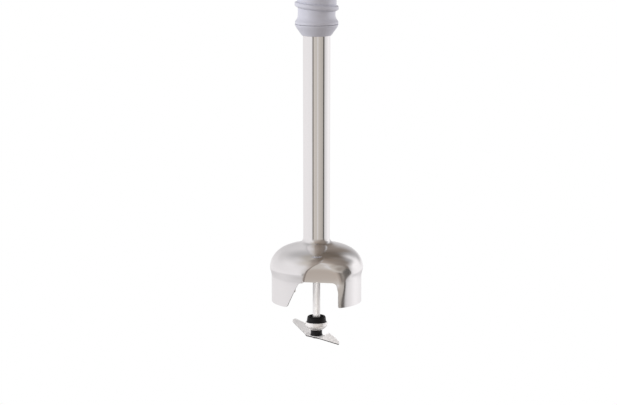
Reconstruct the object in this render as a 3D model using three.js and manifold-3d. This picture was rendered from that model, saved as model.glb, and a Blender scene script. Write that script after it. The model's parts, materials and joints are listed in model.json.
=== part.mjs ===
// A heavy-duty immersion blender: motor housing and handle above, a removable foot with a bell
// guard below, and a blade unit that draws out of the foot for washing, shown drawn out.
// Millimetres, +Z up. The origin is on the drive axis, level with the flat ledge under the motor
// housing. The front, with the trigger, faces -Y.
import * as THREE from "three";
import { mergeVertices } from "three/addons/utils/BufferGeometryUtils.js";
import Module from "manifold-3d";

const wasm = await Module();
wasm.setup();

// Driving dimensions.
const GAP = 0.3; // clearance between pieces that touch
const FINE = 32; // segments round a large turned piece
const COARSE = 12; // segments round a small turned piece

const BARREL_RADIUS = 44; // motor housing
const BARREL_TOP = 132;
const BARREL_WALL = 2.5;
const LEDGE_INNER = 30.5; // flat ledge under the motor housing, level with the origin
const LEDGE_OUTER = 42;
const LEDGE_STEP = 0.6; // the seat of the grip sleeve lies this much above the ledge
const HOUSING_BORE = 22; // where the motor's nose goes through the housing's floor
const HOUSING_MOUTH = 19; // at the top, under the handle
const SLOT_LEVEL = 90; // middle of the air slots
const DIAL_LEVEL = 40; // axis of the speed dial

const HANDLE_RADIUS = 21;
const HANDLE_DEPTH_SCALE = 1.14; // the handle is deeper than it is wide
const HANDLE_TOP = 244;
const HANDLE_WALL = 2.6;
const CAP_TOP = 254;
const SAFETY_LEVEL = 231; // axis of the safety button, at the back
const LOCK_LEVEL = 214; // axis of the lock button, on the left
const TRIGGER_PIVOT = { y: -21.5, z: 226 };
const TRIGGER_WIDTH = 15;
const SCREW_HEIGHTS = [150, 226];

const NECK_RADIUS = 21.1; // grip sleeve below its ribs
const GRIP_RADIUS = 22.4; // grip sleeve between its ribs
const RIB_RADIUS = 24.9;
const RIB_PITCH = 14;
const RIB_COUNT = 4;
const FIRST_RIB = -73.6; // middle of the lowest rib
const RIB_TILT = Math.tan(THREE.MathUtils.degToRad(5.5));
const SLEEVE_BORE = 17;
const LIP_BOTTOM = -94;
const LIP_RADIUS = 24.6;
const SPIGOT_BOTTOM = -97.5; // the ring below the lip that goes down inside the collar
const SPIGOT_RADIUS = 19.8;

const STATOR_BOTTOM = 35; // motor
const STATOR_TOP = 75;
const BRUSH_LEVEL = 91.5;
const MOTOR_SHAFT_RADIUS = 4;
const SHAFT_FIT = MOTOR_SHAFT_RADIUS + GAP; // bore of every piece on the motor's shaft

const COLLAR_BOTTOM = -107;
const FLANGE_BOTTOM = -101.3; // the foot's flange, held up by the collar
const FLANGE_TOP = -99.5;
const FLANGE_RADIUS = 18.8;
const TUBE_TOP_RADIUS = 15.5;
const TUBE_BOTTOM_RADIUS = 15;
const TUBE_WALL = 1.7;
const TUBE_TOP = -95.3;
const TUBE_BOTTOM = -344;

const RIM = -410; // lower edge of the bell guard
const BELL_HEIGHT = 70;
const BELL_WALL = 1.5;
const CARRIER_RADIUS = 13; // the sleeve in the tube's foot that carries the seal and the bush
const CARRIER_BORE = 8.5;
const BUSH_BORE = 4.5;
const RECESS_DISTANCE = 39; // pressed-in wall above each window, from the axis
const RECESS_SLOPE = 0.41; // how fast that wall leans outwards with height
const WINDOW_HEIGHT = 28.6;

const SHAFT_RADIUS = 4.2;
const SHAFT_TOP = -146;
const TANG = 6; // square end of the drive shaft
const TANG_LENGTH = 20;
const SHAFT_SPIGOT_RADIUS = 3.1; // carries the blade
const BLADE_LEVEL = RIM - 35.5; // the blade unit's origin just under its cup, with the unit drawn out
const BLADE_SEAT = -6.2; // middle of the blade, from the unit's origin
const BLADE_HALF_SPAN = 37.2;
const BLADE_THICKNESS = 1.6;
const BLADE_ROOT = 9.5; // half of the blade's flat middle
const BLADE_HALF_WIDTH = 7.2;
const BLADE_TIP_HALF_WIDTH = 2.5;
const BLADE_HOLE = 3.4;
const BLADE_TURN = THREE.MathUtils.degToRad(-45); // the right arm points forward

// Materials.
const finish = (color, roughness, metalness = 0) =>
  new THREE.MeshStandardMaterial({ color, roughness, metalness });
const greyPlastic = finish(0xacaab6, 0.45);
const darkPlastic = finish(0x3a3b40, 0.5);
const softRubber = finish(0x2a2b2e, 0.8);
const blackRubber = finish(0x101011, 0.7);
const polishedSteel = finish(0xd8d6d8, 0.15, 1);
const plainSteel = finish(0xa8a8ac, 0.35, 1);
const laminatedIron = finish(0x5c5e63, 0.5, 1);
const copper = finish(0xb4693c, 0.4, 1);
const bronze = finish(0xa98243, 0.4, 1);
const carbon = finish(0x252525, 0.9);
const boardGreen = finish(0x1f5b3a, 0.6);
const redPlastic = finish(0xb23a34, 0.45);

// Solids.
function solidOf(geometry) {
  const plain = geometry.index ? geometry.toNonIndexed() : geometry.clone();
  plain.deleteAttribute("normal");
  plain.deleteAttribute("uv");
  const merged = mergeVertices(plain, 1e-3);
  return new wasm.Manifold(
    new wasm.Mesh({
      numProp: 3,
      vertProperties: new Float32Array(merged.attributes.position.array),
      triVerts: new Uint32Array(merged.index.array),
    }),
  );
}

function geometryOf(solid) {
  const mesh = solid.getMesh();
  const geometry = new THREE.BufferGeometry();
  geometry.setAttribute("position", new THREE.BufferAttribute(new Float32Array(mesh.vertProperties), 3));
  geometry.setIndex(new THREE.BufferAttribute(new Uint32Array(mesh.triVerts), 1));
  geometry.computeVertexNormals();
  return geometry;
}

const cut = (geometry, ...cutters) =>
  geometryOf(cutters.reduce((solid, cutter) => solid.subtract(solidOf(cutter)), solidOf(geometry)));
const join = (geometry, ...others) =>
  geometryOf(others.reduce((solid, other) => solid.add(solidOf(other)), solidOf(geometry)));
const common = (geometry, other) => geometryOf(solidOf(geometry).intersect(solidOf(other)));

// A turned piece about Z. The profile is a list of [radius, height], listed up its outside; one
// that doesn't start and end on the axis is closed down its inside.
function turned(profile, segments = FINE) {
  const points = profile.map(([radius, height]) => new THREE.Vector2(radius, height));
  const solid = profile[0][0] === 0 && profile.at(-1)[0] === 0;
  if (!solid) points.push(points[0].clone());
  return new THREE.LatheGeometry(points, segments).rotateX(Math.PI / 2);
}

const ring = (inner, outer, bottom, top, segments = COARSE) =>
  turned([[inner, bottom], [outer, bottom], [outer, top], [inner, top]], segments);
const rod = (radius, bottom, top, segments = COARSE) =>
  turned([[0, bottom], [radius, bottom], [radius, top], [0, top]], segments);
const block = (width, depth, height, x = 0, y = 0, z = 0) =>
  new THREE.BoxGeometry(width, depth, height).translate(x, y, z);

// A rod along Y from one place to another.
const rodAlongY = (radius, from, to, x, z, segments = COARSE) =>
  rod(radius, from, to, segments).rotateX(-Math.PI / 2).translate(x, 0, z);
// A rod along X from one place to another.
const rodAlongX = (radius, from, to, y, z, segments = COARSE) =>
  rod(radius, from, to, segments).rotateY(Math.PI / 2).translate(0, y, z);

// A closed coil of wire about Z, from height 0 up.
function coilSpring(radius, wire, length, turns) {
  class Helix extends THREE.Curve {
    getPoint(t, target = new THREE.Vector3()) {
      const angle = t * turns * 2 * Math.PI;
      return target.set(radius * Math.cos(angle), radius * Math.sin(angle), wire + t * (length - 2 * wire));
    }
  }
  const section = new THREE.Shape();
  for (let side = 0; side < 4; side++) {
    const angle = (side * Math.PI) / 2;
    const x = wire * Math.cos(angle);
    const y = wire * Math.sin(angle);
    if (side === 0) section.moveTo(x, y);
    else section.lineTo(x, y);
  }
  return new THREE.ExtrudeGeometry(section, { steps: turns * 9, extrudePath: new Helix() });
}

// A closed skin through a row of four-cornered sections.
function loft(sections) {
  const corners = sections[0].length;
  const points = sections.flat(2);
  const faces = [];
  for (let row = 0; row < sections.length - 1; row++) {
    for (let side = 0; side < corners; side++) {
      const a = row * corners + side;
      const b = row * corners + ((side + 1) % corners);
      faces.push(a, b, b + corners, a, b + corners, a + corners);
    }
  }
  const last = (sections.length - 1) * corners;
  for (let side = 1; side < corners - 1; side++) {
    faces.push(0, side + 1, side);
    faces.push(last, last + side, last + side + 1);
  }
  const geometry = new THREE.BufferGeometry();
  geometry.setAttribute("position", new THREE.Float32BufferAttribute(points, 3));
  geometry.setIndex(faces);
  return geometry;
}

const blender = new THREE.Group();
const motorHousing = new THREE.Group();
const foot = new THREE.Group();
const bladeUnit = new THREE.Group();
bladeUnit.position.z = BLADE_LEVEL;
blender.add(motorHousing, foot, bladeUnit);

function add(group, name, geometry, material) {
  const mesh = new THREE.Mesh(geometry, material);
  mesh.name = name;
  group.add(mesh);
  return mesh;
}

// The grip sleeve: ribs that slope down to the right, a waist, and a lip that covers the collar.
function gripSleeve() {
  const profile = [
    [SLEEVE_BORE, SPIGOT_BOTTOM],
    [SPIGOT_RADIUS, SPIGOT_BOTTOM],
    [SPIGOT_RADIUS, LIP_BOTTOM],
    [LIP_RADIUS, LIP_BOTTOM],
    [LIP_RADIUS, LIP_BOTTOM + 2.2],
    [NECK_RADIUS, LIP_BOTTOM + 6],
    [NECK_RADIUS, FIRST_RIB - 6],
  ];
  for (let rib = 0; rib < RIB_COUNT; rib++) {
    const middle = FIRST_RIB + rib * RIB_PITCH;
    profile.push([rib === 0 ? NECK_RADIUS : GRIP_RADIUS, middle - 3]);
    profile.push([RIB_RADIUS, middle - 1.4]);
    profile.push([RIB_RADIUS, middle + 1.4]);
    profile.push([GRIP_RADIUS, middle + 3]);
  }
  const flare = LEDGE_INNER - 1;
  profile.push([GRIP_RADIUS + 0.6, -20], [flare, -4], [flare, -GAP], [SLEEVE_BORE, -GAP]);
  const sleeve = turned(profile, 24);
  const places = sleeve.attributes.position;
  for (let i = 0; i < places.count; i++) {
    const x = places.getX(i);
    const z = places.getZ(i);
    const outside = Math.hypot(x, places.getY(i)) > SLEEVE_BORE + 1;
    const low = THREE.MathUtils.smoothstep(z, LIP_BOTTOM + 8, FIRST_RIB - 3);
    const high = 1 - THREE.MathUtils.smoothstep(z, -24, -8);
    if (outside) places.setZ(i, z - x * RIB_TILT * low * high);
  }
  return sleeve;
}

// The motor housing: a barrel with a flat ledge below, a domed shoulder and air slots.
function housingBarrel() {
  const inner = BARREL_RADIUS - BARREL_WALL;
  const barrel = turned([
    [HOUSING_BORE, LEDGE_STEP],
    [LEDGE_INNER - LEDGE_STEP, LEDGE_STEP],
    [LEDGE_INNER, 0],
    [LEDGE_OUTER, 0],
    [BARREL_RADIUS, 2],
    [BARREL_RADIUS, 100],
    [42.4, 110],
    [37, 120],
    [31, 127.5],
    [27.8, BARREL_TOP],
    [HOUSING_MOUTH, BARREL_TOP],
    [HOUSING_MOUTH, BARREL_TOP - BARREL_WALL],
    [27.5, 125],
    [35, 117.5],
    [inner - 1.3, 108],
    [inner, 100],
    [inner, 3],
    [HOUSING_BORE, 3],
  ]);
  const slots = [];
  for (let slot = 0; slot < 6; slot++) {
    const angle = THREE.MathUtils.degToRad((slot - 2.5) * 16);
    const cutter = block(8, 3, 14, BARREL_RADIUS, 0, SLOT_LEVEL);
    slots.push(cutter.clone().rotateZ(angle), cutter.rotateZ(angle + Math.PI));
  }
  const dialHole = rodAlongY(3.4, -60, -30, 0, DIAL_LEVEL, 12);
  return cut(barrel, ...slots, dialHole);
}

// The handle's whole skin, before it is parted into two shells and opened for its controls.
function handleSkin(growth) {
  const radius = HANDLE_RADIUS + growth;
  const skin = turned(
    [
      [radius + 3, BARREL_TOP + GAP],
      [radius + 0.5, BARREL_TOP + 14],
      [radius - 1.4, BARREL_TOP + 40],
      [radius - 0.6, BARREL_TOP + 75],
      [radius + 1.4, HANDLE_TOP - 8],
      [radius + 1.6, HANDLE_TOP],
      [radius + 1.6 - HANDLE_WALL, HANDLE_TOP],
      [radius + 1.4 - HANDLE_WALL, HANDLE_TOP - 8],
      [radius - 0.6 - HANDLE_WALL, BARREL_TOP + 75],
      [radius - 1.4 - HANDLE_WALL, BARREL_TOP + 40],
      [radius + 0.5 - HANDLE_WALL, BARREL_TOP + 14],
      [radius + 3 - HANDLE_WALL, BARREL_TOP + GAP],
    ],
    32,
  );
  return skin.scale(1, HANDLE_DEPTH_SCALE, 1);
}

function handleShell(side) {
  const half = block(60, 80, 140, side * (30 + GAP / 2), 0, 188);
  const triggerOpening = block(TRIGGER_WIDTH + 2, 20, 78, 0, -22, 192.5);
  const safetyHole = rodAlongY(6.4, 10, 40, 0, SAFETY_LEVEL, 16);
  const lockHole = rodAlongX(5.4, -40, -10, 0, LOCK_LEVEL, 16);
  const screwHoles = SCREW_HEIGHTS.map((z) => rodAlongX(4, 5, 40, 0, z, 12));
  const holes = side > 0 ? screwHoles : [lockHole];
  return cut(common(handleSkin(0), half), triggerOpening, safetyHole, ...holes);
}

// A screw from the right that draws the two shells together, its head sunk in its hole.
const handleScrew = (z) =>
  join(rodAlongX(1.5, -10, 18, 0, z, 10), rodAlongX(3.6, 17.6, 19.8, 0, z, 12));

// A thin pad over the back of the handle.
const gripPad = () =>
  cut(common(handleSkin(2.3), block(80, 40, 58, 0, 26, 177)), handleSkin(GAP));

function topCap() {
  const cap = turned(
    [
      [7.6, HANDLE_TOP + GAP],
      [22.4, HANDLE_TOP + GAP],
      [22.6, HANDLE_TOP + 4],
      [20, CAP_TOP],
      [7.6, CAP_TOP],
    ],
    32,
  );
  return cap.scale(1, HANDLE_DEPTH_SCALE, 1);
}

// The bush that the lead enters through, held by the cap between a flange and a lip.
const inletBush = () =>
  turned(
    [
      [4, HANDLE_TOP - 3],
      [9, HANDLE_TOP - 3],
      [9, HANDLE_TOP],
      [6.2, HANDLE_TOP],
      [6.2, CAP_TOP + 0.5],
      [7.4, CAP_TOP + 0.5],
      [6.4, CAP_TOP + 6],
      [4, CAP_TOP + 6],
    ],
    COARSE,
  );

// The trigger is a lever hung from a pin at its top, and its foot swings inwards.
function triggerLever() {
  const outline = new THREE.Shape();
  outline.moveTo(-19, 230);
  outline.lineTo(-19, 156);
  outline.quadraticCurveTo(-24, 155, -27, 160);
  outline.quadraticCurveTo(-30, 185, -26.5, 215);
  outline.quadraticCurveTo(-26, 229, -24, 230);
  const settings = { depth: TRIGGER_WIDTH, bevelEnabled: false, curveSegments: 6 };
  const lever = new THREE.ExtrudeGeometry(outline, settings);
  // The outline lies in the YZ plane, and the lever's width runs along X.
  const place = new THREE.Matrix4().set(0, 0, 1, -TRIGGER_WIDTH / 2, 1, 0, 0, 0, 0, 1, 0, 0, 0, 0, 0, 1);
  lever.applyMatrix4(place);
  return cut(lever, rodAlongX(1.9, -20, 20, TRIGGER_PIVOT.y, TRIGGER_PIVOT.z, 12));
}

// A push button with a wide foot that stops it leaving its hole, pointing along +Z.
const pushButton = (radius, length) =>
  turned(
    [
      [0, 0],
      [radius + 1.4, 0],
      [radius + 1.4, 1.6],
      [radius, 1.6],
      [radius, length - 1],
      [radius - 1.2, length],
      [0, length],
    ],
    16,
  );

// The speed dial: a ribbed knob on a stem through the housing's front.
function speedDial() {
  const knob = turned([[0, 45.2], [12, 45.2], [12, 49], [11, 54], [0, 54]], 24);
  const stem = rod(3, 39.3, 45.3, 12);
  const ribs = [];
  for (let rib = 0; rib < 8; rib++) {
    const angle = (rib * Math.PI) / 4;
    ribs.push(block(2, 1.6, 7, 12, 0, 49).rotateZ(angle));
  }
  const dial = join(knob, stem, ...ribs);
  return dial.rotateX(Math.PI / 2).translate(0, 0, DIAL_LEVEL);
}

// The field winding on one side: two bundles over the stator's ends, and two legs between them.
function fieldCoil(side) {
  const bundle = (bottom) => {
    const half = block(40, 80, 20, side * 24, 0, bottom + 4);
    return common(ring(19, 29, bottom, bottom + 7), half);
  };
  const lower = bundle(STATOR_BOTTOM - 7 - GAP);
  const upper = bundle(STATOR_TOP + GAP);
  const middle = (STATOR_BOTTOM + STATOR_TOP) / 2;
  const legs = [-1, 1].map((end) => block(3, 3, 52, side * 8.5, end * 15.6, middle));
  const links = [-1, 1].flatMap((end) => [
    block(4, 8, 3, side * 9, end * 18.6, STATOR_BOTTOM - 4),
    block(4, 8, 3, side * 9, end * 18.6, STATOR_TOP + 4),
  ]);
  return join(lower, upper, ...legs, ...links);
}

// The rotor's winding where it stands out of one end of the core.
function rotorWinding(face, direction) {
  const winding = turned([[SHAFT_FIT, 0], [12.5, 0], [12, 5.7], [SHAFT_FIT, 8.7]], COARSE);
  if (direction < 0) winding.rotateX(Math.PI);
  return winding.translate(0, 0, face);
}

function coolingFan() {
  const hub = ring(SHAFT_FIT, 9, 15.5, 23);
  const plate = ring(8.5, 31, 15.5, 17, 16);
  const blades = [];
  for (let blade = 0; blade < 9; blade++) {
    const angle = (blade * 2 * Math.PI) / 9;
    blades.push(block(22.5, 1.4, 7, 19.5, 0, 20).rotateZ(angle));
  }
  return join(hub, plate, ...blades);
}

// The plates that carry the motor's bearings, open between three arms.
function motorBracket(bottom, thickness, reach, bearingRadius) {
  const hub = ring(bearingRadius, bearingRadius + 4, bottom, bottom + thickness);
  const rim = ring(reach - 4, reach, bottom, bottom + thickness, 20);
  const length = reach - bearingRadius - 4;
  const middle = (reach + bearingRadius) / 2;
  const arms = [];
  for (let arm = 0; arm < 3; arm++) {
    const plank = block(length, 7, thickness, middle, 0, bottom + thickness / 2);
    arms.push(plank.rotateZ((arm * 2 * Math.PI) / 3));
  }
  return join(hub, rim, ...arms);
}

// A coupling dog: a disc with three claws that reach along Z from one face.
function dog(bore, radius, bottom, top, clawBottom, clawTop, turn) {
  const disc = ring(bore, radius, bottom, top);
  const height = clawTop - clawBottom;
  const claws = [];
  for (let claw = 0; claw < 3; claw++) {
    const angle = turn + (claw * 2 * Math.PI) / 3;
    claws.push(block(4, 4.4, height, 6.8, 0, (clawTop + clawBottom) / 2).rotateZ(angle));
  }
  return join(disc, ...claws);
}

function drivenDog() {
  const head = dog(0, 10, -87, -79, -80, -73, Math.PI / 3);
  const stem = rod(6.2, -112, -86);
  const socket = block(TANG + 2 * GAP, TANG + 2 * GAP, 27, 0, 0, -99);
  return cut(join(head, stem), socket);
}

// The bowl-shaped collar that holds the foot's flange up against the grip sleeve's spigot.
const couplingCollar = () =>
  turned(
    [
      [16.1, COLLAR_BOTTOM],
      [16.9, COLLAR_BOTTOM + 0.6],
      [18.8, COLLAR_BOTTOM + 3.6],
      [20.9, COLLAR_BOTTOM + 6.4],
      [22.9, COLLAR_BOTTOM + 8.9],
      [24.2, COLLAR_BOTTOM + 11.3],
      [24.4, LIP_BOTTOM - GAP],
      [20.4, LIP_BOTTOM - GAP],
      [20.4, FLANGE_TOP + GAP],
      [FLANGE_RADIUS + GAP, FLANGE_TOP],
      [FLANGE_RADIUS + GAP, FLANGE_BOTTOM - GAP],
      [16.1, FLANGE_BOTTOM - GAP],
    ],
    24,
  );

// The flange on the tube's top, with the seat of the foot's bearing inside it.
const footFlange = () =>
  turned(
    [
      [15.8, FLANGE_BOTTOM],
      [FLANGE_RADIUS, FLANGE_BOTTOM],
      [FLANGE_RADIUS, FLANGE_TOP],
      [16.7, FLANGE_TOP],
      [16.7, -86],
      [11.3, -86],
      [11.3, TUBE_TOP + GAP],
      [15.8, TUBE_TOP + GAP],
    ],
    20,
  );

const footTube = () =>
  turned([
    [TUBE_BOTTOM_RADIUS - TUBE_WALL, TUBE_BOTTOM],
    [TUBE_BOTTOM_RADIUS, TUBE_BOTTOM],
    [TUBE_TOP_RADIUS, TUBE_TOP],
    [TUBE_BOTTOM_RADIUS - TUBE_WALL, TUBE_TOP],
  ]);

// The bell guard's outside: [radius, height above the rim].
const BELL_OUTSIDE = [
  [51, 0],
  [51, 14],
  [51.2, 28],
  [51.5, 35],
  [52.6, 37.5],
  [52.4, 43],
  [51.6, 48.5],
  [49, 52.8],
  [44.5, 56.8],
  [39, 59.9],
  [32, 62.4],
  [24, 64.3],
  [18.5, 66.4],
  [15.7, BELL_HEIGHT],
];

// The bell guard's inside, down from its neck.
const BELL_INSIDE = [
  [15.4, BELL_HEIGHT],
  [15.4, 65.2],
  [24, 62.6],
  [38.2, 58.4],
  [43.4, 55.4],
  [47.6, 51.6],
  [50, 47.6],
  [50.8, 43],
  [50, 35],
  [49.5, 28],
  [49.5, 0],
];

// How far from the axis the bell's wall is pressed in, at an angle to the right of each front.
function pressedRadius(radius, angle, height) {
  const lean = RECESS_SLOPE * Math.max(0, height - WINDOW_HEIGHT - 1.4);
  const wall = (RECESS_DISTANCE + lean) / Math.cos(angle);
  const leftEdge = -15 + 0.9 * Math.max(0, height - 38);
  const left = radius * Math.sin(angle) < leftEdge;
  return left ? radius : Math.min(radius, wall);
}

// The bell guard, the same when turned half a turn: legs left and right, windows front and back.
function bellGuard() {
  const profile = [...BELL_OUTSIDE, ...BELL_INSIDE];
  const bell = turned(profile, 48);
  const rows = profile.length + 1; // the profile's first point comes again at its end
  const places = bell.attributes.position;
  for (let i = 0; i < places.count; i++) {
    const x = places.getX(i);
    const y = places.getY(i);
    const radius = Math.hypot(x, y);
    const angle = y <= 0 ? Math.atan2(x, -y) : Math.atan2(-x, y);
    const row = (i % rows) % profile.length;
    const wall = row < BELL_OUTSIDE.length ? 0 : BELL_WALL;
    if (radius < 30 || Math.abs(angle) > 1.2) continue;
    const pressed = pressedRadius(radius + wall, angle, places.getZ(i)) - wall;
    places.setX(i, (x * pressed) / radius);
    places.setY(i, (y * pressed) / radius);
  }
  const window = windowCutter();
  return cut(bell, window, window.clone().rotateZ(Math.PI)).translate(0, 0, RIM);
}

// The front window: wider and slanted on its left, upright on its right, with round corners.
function windowCutter() {
  const outline = new THREE.Shape();
  outline.moveTo(-36, -5);
  outline.lineTo(-34, 0);
  outline.lineTo(-26, 20);
  outline.quadraticCurveTo(-22, WINDOW_HEIGHT - 1.5, -15, WINDOW_HEIGHT);
  outline.lineTo(18, WINDOW_HEIGHT);
  outline.quadraticCurveTo(23.5, WINDOW_HEIGHT - 1, 24.5, 20);
  outline.lineTo(25, 0);
  outline.lineTo(25, -5);
  const settings = { depth: 50, bevelEnabled: false, curveSegments: 5 };
  const cutter = new THREE.ExtrudeGeometry(outline, settings);
  return cutter.rotateX(Math.PI / 2).translate(0, -12, 0);
}

// The drive shaft, from its square tang down to the spigot that carries cup, blade and hub.
function driveShaft() {
  const top = SHAFT_TOP - BLADE_LEVEL;
  const body = turned(
    [
      [0, BLADE_SEAT],
      [SHAFT_SPIGOT_RADIUS, BLADE_SEAT],
      [SHAFT_SPIGOT_RADIUS, 3.3],
      [SHAFT_RADIUS, 3.3],
      [SHAFT_RADIUS, top - TANG_LENGTH],
      [0, top - TANG_LENGTH],
    ],
    COARSE,
  );
  const tang = block(TANG, TANG, TANG_LENGTH + 1, 0, 0, top - TANG_LENGTH / 2 - 0.5);
  return cut(join(body, tang), rod(1.8, -8, 12, 12));
}

// Two arms in one strip, each pitched about its front edge: the left one rises, the right one falls.
function bladeStrip() {
  const arm = [5, BLADE_ROOT, 12, 15, 22, 30, BLADE_HALF_SPAN];
  const stations = [...arm.map((reach) => -reach).reverse(), ...arm];
  const sections = stations.map((along) => {
    const reach = Math.abs(along);
    const beyond = Math.max(0, reach - BLADE_ROOT);
    const isLeft = along < 0;
    const slope = isLeft ? 0.42 : -0.128;
    const pitch = (isLeft ? 0.5 : 0.36) * THREE.MathUtils.smoothstep(reach, BLADE_ROOT, 15);
    const share = beyond / (BLADE_HALF_SPAN - BLADE_ROOT);
    const half = BLADE_HALF_WIDTH + (BLADE_TIP_HALF_WIDTH - BLADE_HALF_WIDTH) * share ** 1.2;
    const rise = BLADE_SEAT + half * Math.sin(pitch) + slope * beyond;
    const thick = BLADE_THICKNESS / 2;
    const corner = (across, up) => [
      along,
      across * Math.cos(pitch) - up * Math.sin(pitch),
      rise + across * Math.sin(pitch) + up * Math.cos(pitch),
    ];
    return [corner(-half, -thick), corner(half, -thick), corner(half, thick), corner(-half, thick)];
  });
  return cut(loft(sections), rod(BLADE_HOLE, BLADE_SEAT - 3, BLADE_SEAT + 3, 16)).rotateZ(BLADE_TURN);
}

// The steel cup on the blade that holds the lip seal.
const sealCup = () =>
  turned(
    [
      [BLADE_HOLE, 1.1],
      [6.8, 1.1],
      [12.4, 5.8],
      [12.4, 10.2],
      [11.9, 10.5],
      [11.3, 10.5],
      [11.3, 6.6],
      [6.6, 3],
      [BLADE_HOLE, 3],
    ],
    24,
  );

// The rubber lip that closes the foot's lower end when the blade unit is home.
const lipSeal = () =>
  turned(
    [
      [4.6, 6.8],
      [10.9, 6.8],
      [11, 10.4],
      [10.4, 17],
      [9.8, 17.5],
      [9.2, 17.5],
      [8.2, 13.5],
      [4.6, 11.5],
    ],
    24,
  );

// The spacer between the cup and the blade.
const bladeHub = () =>
  turned(
    [
      [BLADE_HOLE, -5.1],
      [7.1, -5.1],
      [7.1, -4.3],
      [6.5, -3.3],
      [6.5, 0.8],
      [BLADE_HOLE, 0.8],
    ],
    20,
  );

// The screw under the blade, up into the drive shaft.
function bladeScrew() {
  const head = rod(4.5, -8.5, -7.3, 6);
  return join(head, rod(1.5, -7.4, 9, 10));
}

// Motor housing, grip and handle.
add(motorHousing, "grip_sleeve", gripSleeve(), greyPlastic);
add(motorHousing, "motor_housing", housingBarrel(), greyPlastic);
add(motorHousing, "handle_shell_left", handleShell(-1), greyPlastic);
add(motorHousing, "handle_shell_right", handleShell(1), greyPlastic);
add(motorHousing, "grip_pad", gripPad(), softRubber);
add(motorHousing, "top_cap", topCap(), darkPlastic);
add(motorHousing, "inlet_bush", inletBush(), blackRubber);
SCREW_HEIGHTS.forEach((z, index) =>
  add(motorHousing, `handle_screw_${["lower", "upper"][index]}`, handleScrew(z), plainSteel),
);

// Controls.
add(motorHousing, "trigger", triggerLever(), darkPlastic);
add(
  motorHousing,
  "trigger_pin",
  rodAlongX(1.5, -8.3, 8.3, TRIGGER_PIVOT.y, TRIGGER_PIVOT.z, 12),
  plainSteel,
);
add(
  motorHousing,
  "trigger_spring",
  coilSpring(3.2, 0.5, 12.4, 4).rotateX(-Math.PI / 2).translate(0, -18.7, 164),
  plainSteel,
);
add(
  motorHousing,
  "safety_button",
  pushButton(5.8, 15).rotateX(-Math.PI / 2).translate(0, 15, SAFETY_LEVEL),
  redPlastic,
);
add(
  motorHousing,
  "safety_spring",
  coilSpring(3.4, 0.5, 8, 3).rotateX(-Math.PI / 2).translate(0, 6.7, SAFETY_LEVEL),
  plainSteel,
);
add(
  motorHousing,
  "lock_button",
  pushButton(4.8, 12).rotateY(-Math.PI / 2).translate(-12, 0, LOCK_LEVEL),
  darkPlastic,
);
add(
  motorHousing,
  "lock_spring",
  coilSpring(2.8, 0.5, 7, 3).rotateY(-Math.PI / 2).translate(-4.7, 0, LOCK_LEVEL),
  plainSteel,
);
add(motorHousing, "speed_dial", speedDial(), darkPlastic);
add(motorHousing, "speed_potentiometer", rodAlongY(7, -39, -33, 0, DIAL_LEVEL, 16), darkPlastic);
add(motorHousing, "circuit_board", block(26, 1.6, 50, 0, 5, 178), boardGreen);
add(motorHousing, "microswitch", block(6.4, 9, 14, 0, -7, 182), darkPlastic);

// Motor.
add(motorHousing, "upper_motor_bracket", motorBracket(100.5, 5, 39.5, 9.3), plainSteel);
add(motorHousing, "lower_motor_bracket", motorBracket(6, 6, 40.5, 11.3), plainSteel);
add(motorHousing, "upper_bearing", ring(SHAFT_FIT, 9, 100.5, 106), plainSteel);
add(motorHousing, "lower_bearing", ring(SHAFT_FIT, 11, 5, 12), plainSteel);
add(motorHousing, "neck_bearing", ring(SHAFT_FIT, SLEEVE_BORE - GAP, -58, -51), plainSteel);
add(motorHousing, "stator_core", ring(20.6, 30, STATOR_BOTTOM, STATOR_TOP, 24), laminatedIron);
add(motorHousing, "field_coil_left", fieldCoil(-1), copper);
add(motorHousing, "field_coil_right", fieldCoil(1), copper);
add(motorHousing, "rotor_core", ring(SHAFT_FIT, 14, STATOR_BOTTOM + 1, STATOR_TOP - 1), laminatedIron);
add(motorHousing, "rotor_winding_top", rotorWinding(STATOR_TOP - 1 + GAP, 1), copper);
add(motorHousing, "rotor_winding_bottom", rotorWinding(STATOR_BOTTOM + 1 - GAP, -1), copper);
add(motorHousing, "commutator", ring(SHAFT_FIT, 9, 86, 97), copper);
add(motorHousing, "motor_shaft", rod(MOTOR_SHAFT_RADIUS, -72, 112), plainSteel);
add(motorHousing, "cooling_fan", coolingFan(), darkPlastic);
add(motorHousing, "drive_dog", dog(SHAFT_FIT, 10, -72, -64, -78, -71, 0), plainSteel);
[["left", -1], ["right", 1]].forEach(([place, side]) => {
  const brush = block(12, 6, 6, side * 15.4, 0, BRUSH_LEVEL);
  const channel = block(20, 6 + 2 * GAP, 6 + 2 * GAP, side * 20, 0, BRUSH_LEVEL);
  const holder = cut(block(16, 9, 9, side * 20, 0, BRUSH_LEVEL), channel);
  add(motorHousing, `brush_${place}`, brush, carbon);
  add(motorHousing, `brush_holder_${place}`, holder, bronze);
});

// Foot.
add(foot, "coupling_collar", couplingCollar(), greyPlastic);
add(foot, "foot_flange", footFlange(), polishedSteel);
add(foot, "flange_gasket", ring(17.2, 19.6, FLANGE_TOP + GAP, SPIGOT_BOTTOM - GAP, 24), blackRubber);
add(foot, "foot_bearing_outer", ring(9, 11, -94.6, -88.4), plainSteel);
add(foot, "foot_bearing_inner", ring(6.5, 8.6, -94.6, -88.4), plainSteel);
add(foot, "driven_dog", drivenDog(), plainSteel);
add(foot, "foot_tube", footTube(), polishedSteel);
add(foot, "bell_guard", bellGuard(), polishedSteel);
add(foot, "bush_carrier", ring(CARRIER_BORE, CARRIER_RADIUS, RIM + 36, RIM + 82), polishedSteel);
add(foot, "shaft_seal", ring(BUSH_BORE, CARRIER_BORE - GAP, RIM + 36.6, RIM + 42), blackRubber);
add(foot, "lower_bush", ring(BUSH_BORE, CARRIER_BORE - GAP, RIM + 42.4, RIM + 68), bronze);
add(foot, "retaining_ring", ring(6, CARRIER_BORE - GAP, RIM + 68.4, RIM + 70), plainSteel);

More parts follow.
